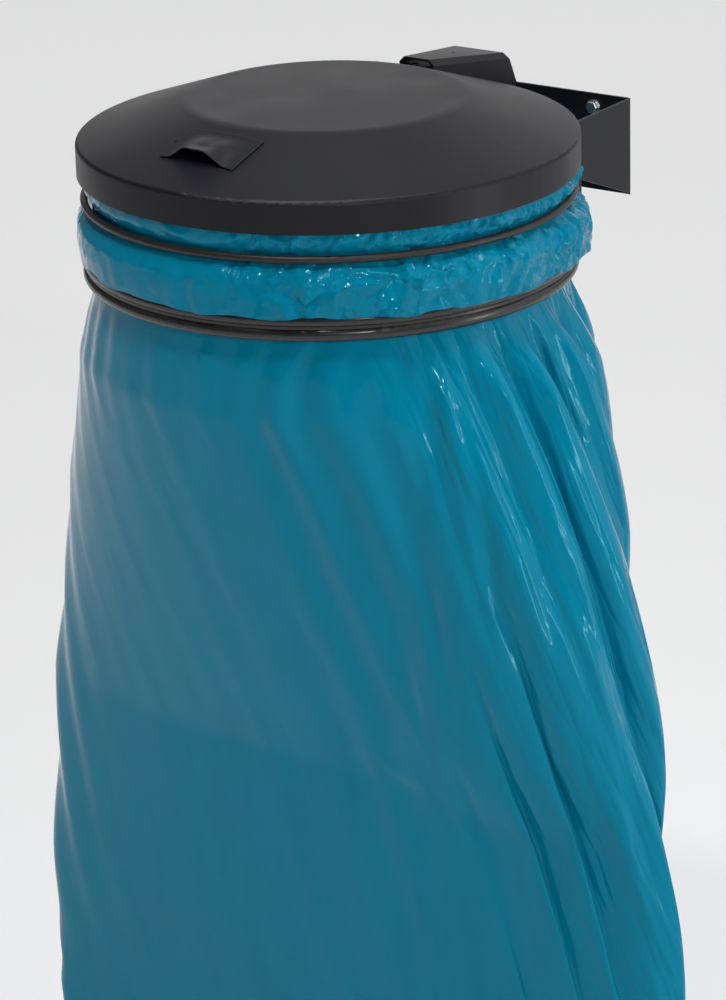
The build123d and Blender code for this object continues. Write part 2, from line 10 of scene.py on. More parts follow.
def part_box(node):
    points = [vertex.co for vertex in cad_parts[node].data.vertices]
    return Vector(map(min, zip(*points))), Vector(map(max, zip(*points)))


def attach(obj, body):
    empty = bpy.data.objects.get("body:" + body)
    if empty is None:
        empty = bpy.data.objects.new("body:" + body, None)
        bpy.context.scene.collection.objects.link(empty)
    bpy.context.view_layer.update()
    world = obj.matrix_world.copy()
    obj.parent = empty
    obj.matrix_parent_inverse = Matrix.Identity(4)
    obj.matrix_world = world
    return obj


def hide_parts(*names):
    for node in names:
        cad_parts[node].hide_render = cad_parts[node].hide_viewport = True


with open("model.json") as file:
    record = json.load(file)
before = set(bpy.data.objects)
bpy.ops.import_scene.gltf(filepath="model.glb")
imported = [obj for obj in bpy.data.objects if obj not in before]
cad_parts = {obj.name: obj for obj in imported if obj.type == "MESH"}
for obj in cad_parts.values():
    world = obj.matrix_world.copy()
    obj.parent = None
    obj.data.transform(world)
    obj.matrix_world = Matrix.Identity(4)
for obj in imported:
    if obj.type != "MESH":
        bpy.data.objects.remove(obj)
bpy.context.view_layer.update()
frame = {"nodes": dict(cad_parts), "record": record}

nodes = frame["nodes"]
scene = bpy.context.scene
scene.view_settings.view_transform = "Standard"

# ---------------------------------------------------------------- places from the frame
HOOP_LOW, HOOP_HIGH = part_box("lower_hoop")
DRUM_LOW, DRUM_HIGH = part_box("drum")
CORD_LOW, CORD_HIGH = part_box("elastic_cord")
LID_LOW, LID_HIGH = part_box("lid_shell")
BAG_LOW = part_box("bag")[0]
CURL_OVERHANG = 0.0032
RING = Vector(((LID_LOW.x + LID_HIGH.x) / 2, (LID_LOW.y + LID_HIGH.y) / 2, LID_LOW.z))
HOOP_R = (HOOP_HIGH.x - HOOP_LOW.x) / 2
DRUM_R = (DRUM_HIGH.x - DRUM_LOW.x) / 2 - CURL_OVERHANG
LID_R = (LID_HIGH.x - LID_LOW.x) / 2
LID_T = 0.0012
RIM_Z = DRUM_HIGH.z
CORD_Z = (CORD_LOW.z + CORD_HIGH.z) / 2
DISC_R, DISC_Z, SHOULDER_Z = 0.119, LID_HIGH.z, LID_LOW.z + 0.0275


# ------------------------------------------------------------------ camera and studio
def make_camera():
    """Long lens in front of the holder, to its right and a little above it."""
    azimuth, elevation, roll = radians(34.83), radians(20.32), radians(-1.49)
    distance, lens = 3.595, 147.4
    aim = RING + Vector((0.0178, 0.0124, -0.3068))
    back = Vector((sin(azimuth) * cos(elevation), -cos(azimuth) * cos(elevation), sin(elevation)))
    data = bpy.data.cameras.new("camera")
    data.lens = lens
    camera = bpy.data.objects.new("camera", data)
    scene.collection.objects.link(camera)
    turn = back.to_track_quat("Z", "Y").to_matrix().to_4x4()
    camera.matrix_world = (
        Matrix.Translation(aim + back * distance) @ turn @ Matrix.Rotation(roll, 4, "Z")
    )
    scene.camera = camera


class Graph:
    """A node tree with short ways to add the few kinds of node that the materials use."""

    def __init__(self, tree):
        self.tree = tree

    def add(self, kind, settings=None, **inputs):
        node = self.tree.nodes.new(kind)
        for key, value in (settings or {}).items():
            setattr(node, key, value)
        for key, value in inputs.items():
            self.feed(node.inputs[key.replace("_", " ")], value)
        return node

    def feed(self, socket, value):
        if isinstance(value, bpy.types.NodeSocket):
            self.tree.links.new(value, socket)
        else:
            socket.default_value = value

    def math(self, operation, a, b=0.0):
        node = self.tree.nodes.new("ShaderNodeMath")
        node.operation = operation
        self.feed(node.inputs[0], a)
        self.feed(node.inputs[1], b)
        return node.outputs[0]

    def spread(self, value, low, high, to_low=0.0, to_high=1.0):
        """Smooth step of value from low..high to to_low..to_high."""
        node = self.add("ShaderNodeMapRange", {"interpolation_type": "SMOOTHSTEP"})
        for index, number in enumerate((value, low, high, to_low, to_high)):
            self.feed(node.inputs[index], number)
        return node.outputs[0]

    def places(self, stretch=(1, 1, 1)):
        """Object coordinates in metres, stretched along the axes."""
        coords = self.add("ShaderNodeTexCoord").outputs["Object"]
        return self.add("ShaderNodeMapping", Vector=coords, Scale=stretch).outputs[0]

    def vector(self, operation, a, b):
        """Result of a vector sum: b is a vector, or a number for SCALE."""
        node = self.add("ShaderNodeVectorMath", {"operation": operation})
        self.feed(node.inputs[0], a)
        self.feed(node.inputs["Scale" if operation == "SCALE" else 1], b)
        return node.outputs["Value" if operation == "DOT_PRODUCT" else "Vector"]

    def drawn_out(self, places, direction, keep):
        """Places squeezed to this share along a direction, so patterns run long that way."""
        reach = self.vector("DOT_PRODUCT", places, direction)
        along = self.vector("SCALE", direction * (1 - keep), reach)
        return self.vector("SUBTRACT", places, along)

    def noise(self, places, scale, detail=3.0, roughness=0.55):
        node = self.add("ShaderNodeTexNoise", Vector=places, Scale=scale, Detail=detail)
        node.inputs["Roughness"].default_value = roughness
        return node.outputs[0]

    def cells(self, places, scale):
        return self.add("ShaderNodeTexVoronoi", Vector=places, Scale=scale).outputs["Distance"]

    def facets(self, places, scale):
        """Height of crumpled film: each cell is a flat facet with its own slope."""
        steepness = 80.0
        cell = self.add("ShaderNodeTexVoronoi", Vector=places, Scale=scale)
        tilt = self.vector("SUBTRACT", cell.outputs["Color"], (0.5, 0.5, 0.5))
        reach = self.vector("SUBTRACT", places, cell.outputs["Position"])
        slope = self.vector("DOT_PRODUCT", tilt, reach)
        return self.math("MULTIPLY", slope, steepness)

    def mix(self, factor, low, high):
        """Colour from low to high as factor goes from 0 to 1."""
        node = self.add("ShaderNodeMix", {"data_type": "RGBA"})
        for index, value in ((0, factor), (6, low), (7, high)):
            self.feed(node.inputs[index], value)
        return node.outputs[2]

    def bump(self, height, distance, strength=1.0, under=None):
        node = self.add("ShaderNodeBump", Height=height, Distance=distance, Strength=strength)
        if under:
            self.feed(node.inputs["Normal"], under)
        return node.outputs[0]


def make_stage():
    """Pale floor under a soft sky, with softboxes above, in front and at the right."""
    size, gap_under_bag = 9.0, 0.12
    mesh = bpy.data.meshes.new("floor")
    work = bmesh.new()
    bmesh.ops.create_grid(work, x_segments=8, y_segments=8, size=size)
    work.to_mesh(mesh)
    work.free()
    floor = bpy.data.objects.new("floor", mesh)
    floor.location = (0, 0, BAG_LOW.z - gap_under_bag)
    scene.collection.objects.link(floor)
    made = bpy.data.materials.new("floor")
    made.use_nodes = True
    shader = made.node_tree.nodes["Principled BSDF"]
    shader.inputs["Base Color"].default_value = (0.78, 0.78, 0.785, 1)
    shader.inputs["Roughness"].default_value = 0.9
    mesh.materials.append(made)
    world = bpy.data.worlds.new("studio")
    world.use_nodes = True
    graph = Graph(world.node_tree)
    direction = graph.add("ShaderNodeTexCoord").outputs["Generated"]
    height = graph.add("ShaderNodeSeparateXYZ", Vector=direction).outputs["Z"]
    total = graph.spread(height, *SKY_TOP_EDGE, SKY_BASE, SKY_TOP)
    for centre, edge, strength in SKY_PATCHES:
        toward = graph.vector("DOT_PRODUCT", direction, Vector(centre).normalized())
        patch = graph.spread(toward, edge, 1.0, 0.0, strength)
        total = graph.math("ADD", total, patch)
    background = world.node_tree.nodes["Background"]
    background.inputs["Color"].default_value = (1.0, 1.0, 1.0, 1)
    graph.feed(background.inputs["Strength"], total)
    scene.world = world
    middle = RING + Vector((0, 0, -0.2))
    for name, offset, width, depth, power in SOFTBOXES:
        light = bpy.data.lights.new(name, "AREA")
        light.shape = "RECTANGLE"
        light.size = width
        light.size_y = depth
        light.energy = power
        lamp = bpy.data.objects.new(name, light)
        lamp.location = RING + Vector(offset)
        lamp.rotation_euler = (middle - lamp.location).to_track_quat("-Z", "Y").to_euler()
        scene.collection.objects.link(lamp)


# brightness of the sky low down and overhead, and the heights between which it changes
SKY_BASE, SKY_TOP = 0.10, 6.3
SKY_TOP_EDGE = 0.93, 0.97
# centre of the patch, cosine at its edge and brightness
SKY_PATCHES = (((0.80, 0.55, 0.50), 0.55, 0.95), ((-0.42, 0.90, 0.30), 0.78, 0.78))
# name, place from the ring's centre, width, depth and watts
SOFTBOXES = (
    ("front_top", (0.25, -1.15, 2.35), 0.5, 0.22, 20.0),
    ("front", (2.45, -2.00, 1.30), 0.16, 0.16, 23.0),
    ("right", (3.0, 0.7, -0.2), 0.20, 1.5, 15.0),
)


# ------------------------------------------------------------------------- materials
def new_material(name, roughness, specular=0.5, metallic=0.0):
    made = bpy.data.materials.new(name)
    made.use_nodes = True
    shader = made.node_tree.nodes["Principled BSDF"]
    shader.inputs["Roughness"].default_value = roughness
    shader.inputs["Specular IOR Level"].default_value = specular
    shader.inputs["Metallic"].default_value = metallic
    return made, Graph(made.node_tree), shader.inputs


def powder_coat():
    """Dark grey powder coat: orange peel, fine grain, faint handling marks."""
    made, graph, sockets = new_material("powder_coat", 0.42, specular=0.24)
    at = graph.places()
    cloud = graph.noise(at, 9.0)
    scuff = graph.spread(graph.noise(graph.places((1, 1, 6)), 42.0, 6.0, 0.7), 0.63, 0.74)
    base = graph.mix(cloud, (0.0055, 0.0058, 0.0080, 1), (0.0095, 0.0098, 0.0130, 1))
    worn = graph.mix(graph.math("MULTIPLY", scuff, 0.35), base, (0.05, 0.05, 0.052, 1))
    graph.feed(sockets["Base Color"], worn)
    rough = graph.spread(cloud, 0.3, 0.7, 0.40, 0.48)
    graph.feed(sockets["Roughness"], graph.math("ADD", rough, graph.math("MULTIPLY", scuff, 0.06)))
    peel = graph.bump(graph.noise(at, 420.0, 2.0), 0.00005, 0.3)
    grain = graph.bump(graph.noise(at, 1900.0, 2.0), 0.00006, 0.6, under=peel)
    graph.feed(sockets["Normal"], grain)
    return made


def hoop_black():
    """Semi-gloss black enamel over a roll-formed section, with faint marks along it."""
    made, graph, sockets = new_material("hoop_black", 0.27, specular=0.5)
    at = graph.places()
    cloud = graph.noise(at, 14.0)
    lines = graph.noise(graph.places((1, 1, 60)), 20.0, 4.0, 0.6)
    base = graph.mix(cloud, (0.011, 0.0105, 0.0105, 1), (0.019, 0.018, 0.0175, 1))
    nick = graph.spread(graph.noise(at, 130.0, 5.0, 0.7), 0.68, 0.76, 0.0, 0.5)
    graph.feed(sockets["Base Color"], graph.mix(nick, base, (0.06, 0.057, 0.054, 1)))
    graph.feed(sockets["Roughness"], graph.spread(lines, 0.3, 0.7, 0.24, 0.32))
    peel = graph.bump(graph.noise(at, 240.0, 2.0), 0.00006, 0.3)
    graph.feed(sockets["Normal"], graph.bump(lines, 0.00002, 0.3, under=peel))
    return made


def zinc():
    """Bright zinc plate with a spangled tone and fine turning marks."""
    made, graph, sockets = new_material("zinc", 0.3, metallic=1.0)
    at = graph.places()
    spangle = graph.cells(at, 380.0)
    cloud = graph.noise(at, 90.0, 4.0)
    tone = graph.math("MULTIPLY", graph.math("ADD", spangle, cloud), 0.5)
    graph.feed(sockets["Base Color"], graph.mix(tone, (0.50, 0.52, 0.54, 1), (0.72, 0.72, 0.70, 1)))
    graph.feed(sockets["Roughness"], graph.spread(cloud, 0.3, 0.7, 0.22, 0.42))
    graph.feed(sockets["Normal"], graph.bump(graph.noise(at, 1400.0, 3.0), 0.00008, 0.5))
    return made


def cord_rubber():
    """Dark brown-black rubber cord with a satin skin and fine lengthwise ribs."""
    made, graph, sockets = new_material("cord_rubber", 0.42, specular=0.45)
    at = graph.places()
    cloud = graph.noise(at, 45.0, 4.0)
    base = graph.mix(cloud, (0.009, 0.007, 0.006, 1), (0.022, 0.015, 0.011, 1))
    graph.feed(sockets["Base Color"], base)
    ribs = graph.noise(graph.places((1, 1, 30)), 60.0, 3.0)
    graph.feed(sockets["Roughness"], graph.spread(ribs, 0.3, 0.7, 0.36, 0.50))
    pores = graph.bump(graph.noise(at, 2200.0, 2.0), 0.00005, 0.5)
    graph.feed(sockets["Normal"], graph.bump(ribs, 0.0002, 0.4, under=pores))
    sockets["Sheen Weight"].default_value = 0.05
    sockets["Sheen Tint"].default_value = (0.75, 0.6, 0.5, 1)
    return made


def buffer_rubber():
    """Black moulded rubber, matt, with a dusty bloom."""
    made, graph, sockets = new_material("buffer_rubber", 0.7, specular=0.35)
    at = graph.places()
    bloom = graph.spread(graph.noise(at, 160.0, 5.0), 0.4, 0.7)
    base = graph.mix(bloom, (0.012, 0.012, 0.012, 1), (0.035, 0.035, 0.034, 1))
    graph.feed(sockets["Base Color"], base)
    graph.feed(sockets["Roughness"], graph.spread(bloom, 0.0, 1.0, 0.58, 0.8))
    graph.feed(sockets["Normal"], graph.bump(graph.noise(at, 1500.0, 3.0), 0.0001, 0.6))
    return made


def bush_plastic():
    """Natural white moulded plastic, slightly yellowed."""
    made, graph, sockets = new_material("bush_plastic", 0.5)
    at = graph.places()
    cloud = graph.noise(at, 120.0, 4.0)
    base = graph.mix(cloud, (0.66, 0.64, 0.56, 1), (0.78, 0.77, 0.72, 1))
    graph.feed(sockets["Base Color"], base)
    graph.feed(sockets["Roughness"], graph.spread(cloud, 0.3, 0.7, 0.42, 0.58))
    graph.feed(sockets["Normal"], graph.bump(graph.noise(at, 900.0, 2.0), 0.00006, 0.5))
    return made


def bag_film():
    """Glossy teal film: crumpled cuff, drawn-out creases at the right, haze that comes and goes."""
    made, graph, sockets = new_material("bag_film", 0.14, specular=0.5)
    at = graph.places()
    long_way = graph.places((1, 1, 0.28))
    cloud = graph.noise(long_way, 7.0, 4.0)
    base = graph.mix(cloud, (0.0, 0.184, 0.298, 1), (0.001, 0.213, 0.344, 1))
    streak = graph.spread(graph.noise(graph.places((1, 1, 0.12)), 55.0, 3.0), 0.35, 0.75, 0.0, 0.35)
    graph.feed(sockets["Base Color"], graph.mix(streak, base, (0.0, 0.162, 0.266, 1)))
    haze = graph.spread(graph.noise(at, 24.0, 4.0), 0.35, 0.7, 0.05, 0.12)
    graph.feed(sockets["Roughness"], haze)
    height = graph.add("ShaderNodeSeparateXYZ", Vector=at).outputs["Z"]
    cuff = graph.spread(height, HOOP_HIGH.z - 0.012, HOOP_HIGH.z - 0.002)
    hanging = graph.math("SUBTRACT", 1.0, cuff)
    toward_slack = Vector((0.82, 0.57, 0.30))
    sideways = graph.vector("DOT_PRODUCT", at, toward_slack)
    middle = RING.dot(toward_slack)
    slack_side = graph.spread(sideways, middle - 0.03, middle + 0.06, 0.05, 1.0)
    lively = graph.spread(sideways, middle - 0.13, middle - 0.03, 0.12, 1.0)

    # crumpled facets on the cuff
    swirl = graph.add("ShaderNodeTexNoise", Vector=at, Scale=40.0).outputs["Color"]
    bent = graph.vector("ADD", at, graph.vector("SCALE", swirl, 0.012))
    small = graph.math("MULTIPLY", graph.facets(bent, 150.0), 0.35)
    crumple = graph.math("ADD", graph.facets(bent, 62.0), small)
    near = graph.noise(at, 16.0, 3.0)
    patchy = graph.math("MULTIPLY", graph.spread(near, 0.42, 0.58, 0.10, 1.0), lively)
    crumple = graph.math("MULTIPLY", crumple, graph.math("MULTIPLY", patchy, cuff))

    # crease lines that run down and to the right on the hanging part
    drawn = graph.drawn_out(at, Vector((0.29, 0.20, -0.935)).normalized(), 0.09)
    line, finer = (
        graph.math("ABSOLUTE", graph.math("SUBTRACT", graph.noise(drawn, scale, 2.0, 0.4), 0.5))
        for scale in (26.0, 63.0)
    )
    pulled = graph.math("ADD", line, graph.math("MULTIPLY", finer, 0.3))
    pulled = graph.math("MULTIPLY", pulled, graph.math("MULTIPLY", hanging, slack_side))

    soft = graph.bump(graph.noise(long_way, 38.0, 3.0), 0.0016, 0.25)
    creased = graph.bump(crumple, 0.012, 1.0, under=soft)
    creased = graph.bump(pulled, 0.020, 1.0, under=creased)
    grain = graph.bump(graph.noise(at, 330.0, 2.0), 0.00010, 0.25, under=creased)
    graph.feed(sockets["Normal"], grain)
    sockets["Specular Tint"].default_value = (0.45, 0.90, 1.0, 1)
    sockets["IOR"].default_value = 1.26
    sockets["Sheen Weight"].default_value = 0.01
    sockets["Sheen Roughness"].default_value = 0.35
    sockets["Sheen Tint"].default_value = (0.55, 0.80, 0.86, 1)
    return made


MATERIALS = {
    make.__name__: make()
    for make in (powder_coat, hoop_black, zinc, cord_rubber, buffer_rubber, bush_plastic, bag_film)
}


def finish_nodes():
    """Give every carried-over CAD node the material of its slot."""
    for part in frame["record"]["subparts"]:
        if part["node"] in nodes:
            mesh = nodes[part["node"]].data
            mesh.materials.clear()
            mesh.materials.append(MATERIALS[part["material_slot"]])


# --------------------------------------------------------------------- helpers for film
def wave_field(seed, u, v, cycles, slant, count):
    """Seeded sum of waves over the film: u runs 0 to 1 round it and v is metres along it."""
    random = np.random.default_rng(seed)
    total = np.zeros(np.broadcast(u, v).shape)
    for _ in range(count):
        turns = random.integers(cycles[0], cycles[1] + 1)
        lean = random.uniform(*slant)
        total += np.cos(2 * pi * (turns * u + lean * v + random.random()))
    return total * np.sqrt(2 / count)


def ridge(phase):
    """Triangle wave between 0 and 1: flat facets that meet in sharp creases."""
    return np.abs(2 * (phase - np.floor(phase + 0.5)))


def smooth(value, low, high):
    share = np.clip((value - low) / (high - low), 0, 1)
    return share * share * (3 - 2 * share)


def bell(angle, at, spread):
    away = (angle - at + pi) % (2 * pi) - pi
    return np.exp(-((away / spread) ** 2))


# --------------------------------------------------------------------------- bag film
FILM_ROUND = 1.40
GRAVITY, PRESSURE, HOLD_SHARE = 0.05, 6.0, 0.78
# frames and mass of each simulation, coarse then fine
COARSE_FRAMES, COARSE_MASS = 22, 0.04
FINE_FRAMES, FINE_MASS = 9, 0.01
COLUMNS, BODY_ROWS, HELD_ROWS = 160, 76, 4
TURN_STEPS, OVAL_STEPS = 3601, 2001
SLACK_AT, SLACK_SPREAD, SLACK_SHARE = radians(-10), radians(36), 0.70
BACK_AT, BACK_SPREAD = radians(100), radians(45)
SEAM_TURN, TIGHT = radians(30), 1.003
LINING_R = DRUM_R - 0.0034
HOLD_Z, FOOT_Z, SEAM_Z = HOOP_LOW.z + 0.022, HOOP_LOW.z, BAG_LOW.z


def spread_columns(columns, length, turned=0.0):
    """Turn of each column round an oval of this length: its spare film is at right and back."""
    turn = np.linspace(-pi, pi, TURN_STEPS)
    spare = (FILM_ROUND - TIGHT * length) / length * 2 * pi
    slack = SLACK_SHARE * bell(turn, SLACK_AT, SLACK_SPREAD) / SLACK_SPREAD
    slack += (1 - SLACK_SHARE) * bell(turn, BACK_AT, BACK_SPREAD) / BACK_SPREAD
    slack *= spare / np.trapz(slack, turn)
    film = np.concatenate([[0], np.cumsum((TIGHT + slack)[1:] * np.diff(turn))])
    return np.interp(np.arange(columns) / columns * film[-1], film, turn) + turned


def oval_row(along, across, columns, turned=0.0):
    """One row of film round an oval with these half widths."""
    angle = np.linspace(0, 2 * pi, OVAL_STEPS)
    x, y = along * np.cos(angle), across * np.sin(angle)
    length = np.concatenate([[0], np.cumsum(np.hypot(np.diff(x), np.diff(y)))])
    turn = spread_columns(columns, length[-1], turned)
    at = np.interp((turn / (2 * pi)) % 1.0 * length[-1], length, angle)
    return np.stack([along * np.cos(at), across * np.sin(at)], 1)


def body_shape():
    """Start shape of the hanging part: rings inside the drum, then ovals down to the seam."""
    held = np.linspace(HOLD_Z, FOOT_Z, HELD_ROWS, endpoint=False)
    hanging = np.linspace(FOOT_Z, SEAM_Z, BODY_ROWS - HELD_ROWS)
    heights = np.concatenate([held, hanging])
    # share of the way down, half width along the wall, half width across it
    ovals = np.array([
        (0.0, LINING_R, LINING_R), (0.04, 0.214, 0.204), (0.085, 0.229, 0.202),
        (0.245, 0.271, 0.156), (0.505, 0.320, 0.080), (0.755, 0.342, 0.044), (1.0, 0.346, 0.0012),
    ])
    points = np.zeros((BODY_ROWS, COLUMNS, 3))
    for row, z in enumerate(heights):
        share = max((FOOT_Z - z) / (FOOT_Z - SEAM_Z), 0.0)
        along = np.interp(share, ovals[:, 0], ovals[:, 1])
        across = np.interp(share, ovals[:, 0], ovals[:, 2])
        points[row, :, :2] = oval_row(along, across, COLUMNS, SEAM_TURN * share)
        points[row, :, 2] = z
    return points


def refine(grid):
    """Twice as many columns and rows, on smooth curves through the old points."""
    a, b, c, d = (np.roll(grid, shift, axis=1) for shift in (1, 0, -1, -2))
    between = (9 * (b + c) - (a + d)) / 16
    grid = np.stack([grid, between], 2).reshape(grid.shape[0], -1, 3)
    above = np.concatenate([2 * grid[:1] - grid[1:2], grid[:-2]])
    below = np.concatenate([grid[2:], 2 * grid[-1:] - grid[-2:-1]])
    full = np.zeros((2 * len(grid) - 1, *grid.shape[1:]))
    full[::2] = grid
    full[1::2] = (9 * (grid[:-1] + grid[1:]) - (above + below)) / 16
    return full


def tube_mesh(name, points):
    """Open tube of quads through rows of points."""
    rows, columns = points.shape[:2]
    mesh = bpy.data.meshes.new(name)
    index = np.arange(rows * columns).reshape(rows, columns)
    right = np.roll(index, -1, axis=1)
    quads = np.stack([index[:-1], index[1:], right[1:], right[:-1]], -1).reshape(-1, 4)
    mesh.from_pydata(points.reshape(-1, 3).tolist(), [], quads.tolist())
    return mesh


def calm_share(points):
    """How firmly each point keeps its place: firm at front, left and low down, free elsewhere."""
    flatness = 0.55
    turn = np.arctan2(points[:, :, 1] / flatness, points[:, :, 0])
    free = bell(turn, SLACK_AT, radians(62)) + bell(turn, BACK_AT, radians(42))
    low = smooth((FOOT_Z - points[:, :, 2]) / (FOOT_Z - SEAM_Z), 0.45, 0.80)
    return HOLD_SHARE * np.maximum(1 - smooth(free, 0.15, 0.75), low)


def hang(points, down, held, frames, mass):
    """Cloth simulation of the hanging film: its cut shape is a straight tube."""
    rows, columns = points.shape[:2]
    mesh = tube_mesh("hanging", points)
    cloth_piece = bpy.data.objects.new("hanging", mesh)
    scene.collection.objects.link(cloth_piece)
    cloth_piece.shape_key_add(name="Basis")
    cut = cloth_piece.shape_key_add(name="cut")
    turn = np.linspace(-pi, pi, columns, endpoint=False)
    flat = np.zeros_like(points)
    flat[:, :, 0] = FILM_ROUND / (2 * pi) * np.cos(turn)
    flat[:, :, 1] = FILM_ROUND / (2 * pi) * np.sin(turn)
    flat[:, :, 2] = -down[:, None]
    cut.data.foreach_set("co", flat.reshape(-1))
    pin = cloth_piece.vertex_groups.new(name="pin")
    hold = calm_share(points)
    hold[held] = 1.0
    steps = 20
    levels = np.round(hold.reshape(-1) * steps).astype(int)
    for level in np.unique(levels[levels > 0]):
        pin.add(np.nonzero(levels == level)[0].tolist(), level / steps, "REPLACE")
    cloth = cloth_piece.modifiers.new("cloth", "CLOTH")
    settings = cloth.settings
    settings.quality = 5
    settings.mass = mass
    settings.tension_stiffness = settings.compression_stiffness = 15
    settings.shear_stiffness = 6
    settings.bending_stiffness = 0.03
    settings.tension_damping = settings.compression_damping = settings.shear_damping = 8
    settings.bending_damping = 0.5
    settings.air_damping = 2.0
    settings.vertex_group_mass = "pin"
    settings.pin_stiffness = 50
    settings.rest_shape_key = cut
    settings.use_pressure = True
    settings.uniform_pressure_force = PRESSURE
    settings.effector_weights.gravity = GRAVITY
    cloth.collision_settings.use_collision = False
    cloth.point_cache.frame_start = 1
    cloth.point_cache.frame_end = frames
    for step in range(1, frames + 1):
        scene.frame_set(step)
    shown = cloth_piece.evaluated_get(bpy.context.evaluated_depsgraph_get())
    found = np.zeros(rows * columns * 3)
    shown.data.vertices.foreach_get("co", found)
    bpy.data.objects.remove(cloth_piece)
    bpy.data.meshes.remove(mesh)
    scene.frame_set(1)
    return found.reshape(rows, columns, 3)


def fold_seed(points, down):
    """Small ripples that tell the simulation where to fold: mostly on the slack side."""
    u = np.arange(points.shape[1]) / points.shape[1]
    ring = spread_columns(points.shape[1], 2 * pi * LINING_R)
    ripple = wave_field(3, u[None, :], down[:, None], (14, 34), (-2.2, -0.6), 16)
    where = 0.02 + bell(ring, SLACK_AT, radians(42)) + 0.4 * bell(ring, BACK_AT, radians(60))
    below_hold = down - down[HELD_ROWS - 1]
    above_seam = down[-1] - down
    fade = smooth(below_hold, 0.0, 0.08) * smooth(above_seam, 0.02, 0.25)
    outward = points[:, :, :2] / np.linalg.norm(points[:, :, :2], axis=2, keepdims=True)
    highest = 0.009
    push = ripple * where[None, :] * fade[:, None] * highest
    points = points.copy()
    points[:, :, :2] += outward * push[:, :, None]
    return points


def make_body():
    """Film from inside the drum's foot down to the bottom seam."""
    points = body_shape()
    level = np.linalg.norm(np.diff(points, axis=0), axis=2).mean(1)
    down = np.concatenate([[0], np.cumsum(level)]) * TIGHT
    points = fold_seed(points, down)
    held = [*range(HELD_ROWS), BODY_ROWS - 2, BODY_ROWS - 1]
    points = hang(points, down, held, COARSE_FRAMES, COARSE_MASS)
    points = refine(points)
    down = np.interp(np.arange(len(points)) / 2, np.arange(BODY_ROWS), down)
    held = [*range(2 * HELD_ROWS - 1), len(points) - 2, len(points) - 1]
    points = hang(points, down, held, FINE_FRAMES, FINE_MASS)
    return points


def cuff_shape():
    """Radius, height and metres along the film of each row from the hem to the held ring."""
    # radius, height and rows on to the next
    knots = (
        (HOOP_R + 0.0018, HOOP_HIGH.z - 0.0030, 7),
        (HOOP_R + 0.0042, HOOP_HIGH.z + 0.014, 6),
        (HOOP_R + 0.0030, HOOP_HIGH.z + 0.028, 5),
        (DRUM_R + 0.0016, CORD_Z - 0.0050, 4),
        (DRUM_R + 0.0012, CORD_Z + 0.0050, 5),
        (DRUM_R + 0.0062, CORD_Z + 0.014, 8),
        (DRUM_R + 0.0048, RIM_Z - 0.0050, 3),
        (DRUM_R + 0.0038, RIM_Z - 0.0002, 3),
        (DRUM_R + 0.0008, RIM_Z + 0.0014, 3),
        (LINING_R, RIM_Z - 0.0020, 9),
        (LINING_R, HOLD_Z, 0),
    )
    rows = []
    for (r0, z0, steps), (r1, z1, _) in zip(knots, knots[1:]):
        for step in range(steps):
            share = step / steps
            rows.append((r0 + (r1 - r0) * share, z0 + (z1 - z0) * share))
    rows = np.array(rows)
    for _ in range(2):
        rows[1:-1] = (rows[:-2] + 2 * rows[1:-1] + rows[2:]) / 4
    along = np.concatenate([[0], np.cumsum(np.hypot(*np.diff(rows, axis=0).T))])
    return rows[:, 0], rows[:, 1], along


def cuff_folds(ring, u, along, at_cord):
    """How far the cuff's wrinkles stand out of its plain shape."""
    right = bell(ring, radians(5), radians(42))
    middle = bell(ring, radians(-62), radians(30))
    left = bell(ring, radians(-125), radians(30))
    lively = 0.32 + 0.75 * middle + 0.95 * right - 0.14 * left
    u, v = u[None, :], along[:, None]
    sway = wave_field(21, u, v, (3, 14), (-16, 16), 10)
    tall = ridge(46 * u + 0.6 * sway + 0.2 * wave_field(22, u, v, (20, 50), (-25, 25), 6))
    slant = ridge(21 * u + 13 * v + 0.55 * wave_field(23, u, v, (4, 20), (-14, 14), 8))
    cross = ridge(17 * u - 18 * v + 0.6 * wave_field(24, u, v, (4, 20), (-16, 16), 8))
    fine = ridge(88 * u + 0.9 * wave_field(25, u, v, (10, 50), (-40, 40), 10))
    patch = 0.5 + 0.5 * np.tanh(1.6 * wave_field(26, u, v, (5, 18), (-8, 8), 10))
    other = 0.5 + 0.5 * np.tanh(1.6 * wave_field(27, u, v, (5, 18), (-8, 8), 10))
    away = np.abs(v - at_cord)
    belly = smooth(away, 0.004, 0.020)
    pinch = smooth(away, 0.0032, 0.009) * (1 - smooth(away, 0.012, 0.034))
    height = 0.0046 * tall ** 1.5 * pinch
    height = height + belly * (0.0034 * slant * patch + 0.0030 * cross * other)
    height = height + 0.0008 * fine * smooth(away, 0.0035, 0.010) * (0.1 + 0.9 * right)
    bulge = 0.0065 * right * belly * (0.55 + 0.45 * np.sin(2 * pi * (9 * u + 4 * v) + 1.0))
    return lively * height + bulge * (v < at_cord)


